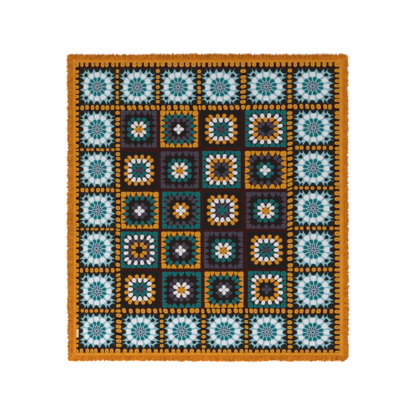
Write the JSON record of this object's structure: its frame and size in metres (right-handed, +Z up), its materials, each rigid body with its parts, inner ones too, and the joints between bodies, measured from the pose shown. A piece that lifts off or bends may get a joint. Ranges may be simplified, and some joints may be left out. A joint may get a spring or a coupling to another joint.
{
  "type": "granny square throw blanket",
  "caption": "Flat printed throw blanket with a granny square pattern and a mustard brush fringe on all edges, laid out face up.",
  "frame": {"origin": "on the resting surface, under the middle of the whole outline with its fringe", "axes": "+Z up out of the printed face, +Y along the long side towards the top edge of the pattern, +X to the right"},
  "size_m": [1.3619, 1.4882, 0.0073],
  "materials": {
    "printed_cloth": "soft printed cotton and polyester weave",
    "brush_fringe": "mustard yarn, cut brush fringe under a flat heading tape",
    "label_weave": "plain cream satin ribbon"
  },
  "bodies": {
    "root": {"printed_cloth": "printed_cloth", "fringe_right": "brush_fringe", "fringe_top": "brush_fringe", "fringe_left": "brush_fringe", "fringe_bottom": "brush_fringe", "side_label": "label_weave"}
  },
  "joints": []
}
